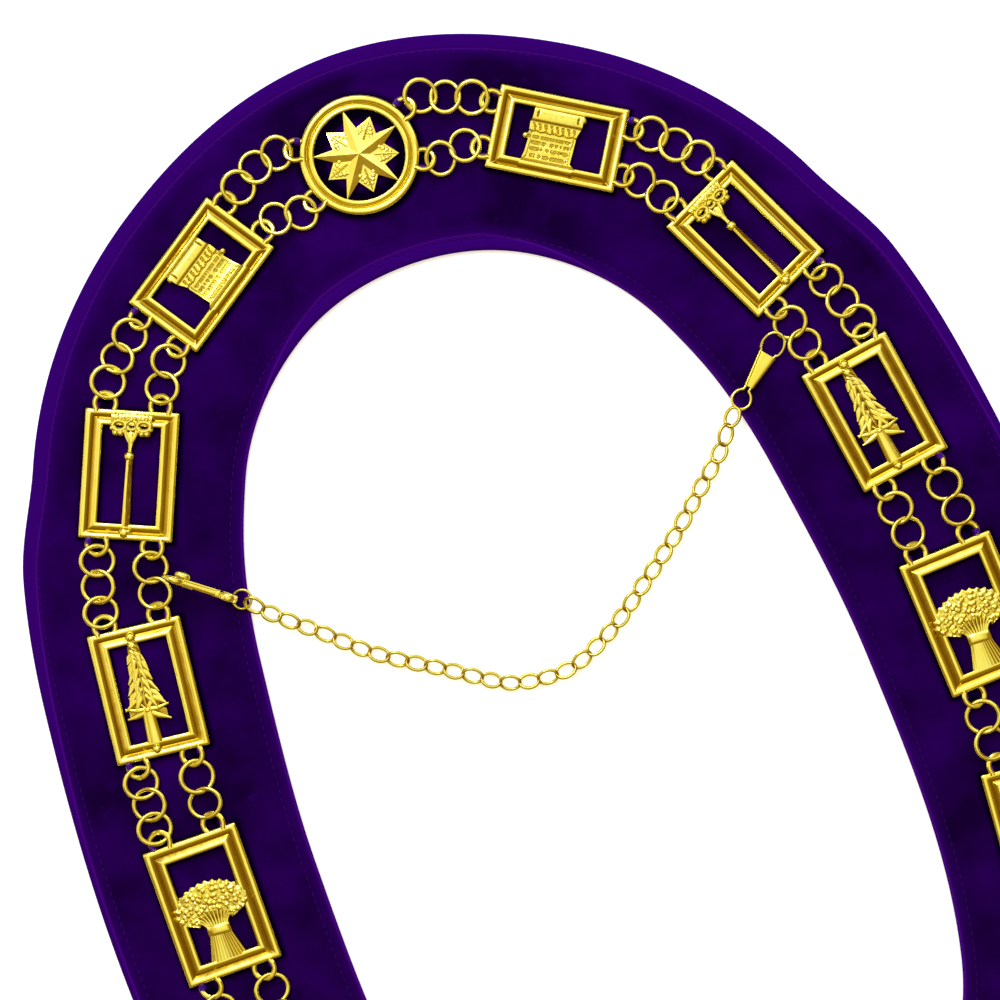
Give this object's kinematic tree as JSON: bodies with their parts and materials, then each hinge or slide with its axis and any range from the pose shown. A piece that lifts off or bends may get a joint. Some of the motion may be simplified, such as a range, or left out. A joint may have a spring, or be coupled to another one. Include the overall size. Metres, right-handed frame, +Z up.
{
  "type": "chain collar",
  "caption": "Velvet horseshoe collar of ceremonial regalia that carries a gilt double chain of pierced medallions and wire rings, with a safety chain across the opening.",
  "frame": {"origin": "on the surface that the collar lies on, under the middle of its box", "axes": "+Y along the collar to the nape, +X to the right as seen from above with the nape at the top, +Z up out of the chain's side"},
  "size_m": [0.4104, 0.6594, 0.0175],
  "materials": {
    "purple_velvet": "deep pile velvet",
    "gilt_castings": "bright gilt, cast relief, polished high points",
    "gilt_wire": "bright gilt round wire",
    "gilt_sheet": "bright gilt folded sheet"
  },
  "bodies": {
    "root": {"velvet_collar": "purple_velvet", "star_medallion": "gilt_castings", "point_medallion": "gilt_castings", "left_scroll_plaque": "gilt_castings", "right_scroll_plaque": "gilt_castings", "left_sceptre_plaque": "gilt_castings", "right_sceptre_plaque": "gilt_castings", "left_sword_plaque": "gilt_castings", "right_sword_plaque": "gilt_castings", "left_sheaf_plaque": "gilt_castings", "right_sheaf_plaque": "gilt_castings", "left_upper_plain_plaque": "gilt_castings", "right_upper_plain_plaque": "gilt_castings", "left_middle_plain_plaque": "gilt_castings", "right_middle_plain_plaque": "gilt_castings", "left_lower_plain_plaque": "gilt_castings", "right_lower_plain_plaque": "gilt_castings", "left_nape_scroll_outer_strand": "gilt_wire", "right_nape_scroll_outer_strand": "gilt_wire", "left_nape_scroll_inner_strand": "gilt_wire", "right_nape_scroll_inner_strand": "gilt_wire", "left_scroll_sceptre_outer_strand": "gilt_wire", "right_scroll_sceptre_outer_strand": "gilt_wire", "left_scroll_sceptre_inner_strand": "gilt_wire", "right_scroll_sceptre_inner_strand": "gilt_wire", "left_sceptre_sword_outer_strand": "gilt_wire", "right_sceptre_sword_outer_strand": "gilt_wire", "left_sceptre_sword_inner_strand": "gilt_wire", "right_sceptre_sword_inner_strand": "gilt_wire", "left_sword_sheaf_outer_strand": "gilt_wire", "right_sword_sheaf_outer_strand": "gilt_wire", "left_sword_sheaf_inner_strand": "gilt_wire", "right_sword_sheaf_inner_strand": "gilt_wire", "left_sheaf_upper_plain_outer_strand": "gilt_wire", "right_sheaf_upper_plain_outer_strand": "gilt_wire", "left_sheaf_upper_plain_inner_strand": "gilt_wire", "right_sheaf_upper_plain_inner_strand": "gilt_wire", "left_upper_plain_middle_plain_outer_strand": "gilt_wire", "right_upper_plain_middle_plain_outer_strand": "gilt_wire", "left_upper_plain_middle_plain_inner_strand": "gilt_wire", "right_upper_plain_middle_plain_inner_strand": "gilt_wire", "left_middle_plain_lower_plain_outer_strand": "gilt_wire", "right_middle_plain_lower_plain_outer_strand": "gilt_wire", "left_middle_plain_lower_plain_inner_strand": "gilt_wire", "right_middle_plain_lower_plain_inner_strand": "gilt_wire", "left_lower_plain_point_outer_strand": "gilt_wire", "right_lower_plain_point_outer_strand": "gilt_wire", "left_lower_plain_point_inner_strand": "gilt_wire", "right_lower_plain_point_inner_strand": "gilt_wire", "right_snap_wire": "gilt_wire", "right_snap_sleeve": "gilt_sheet", "left_snap_wire": "gilt_wire", "left_snap_sleeve": "gilt_sheet", "safety_chain": "gilt_wire"}
  },
  "joints": []
}
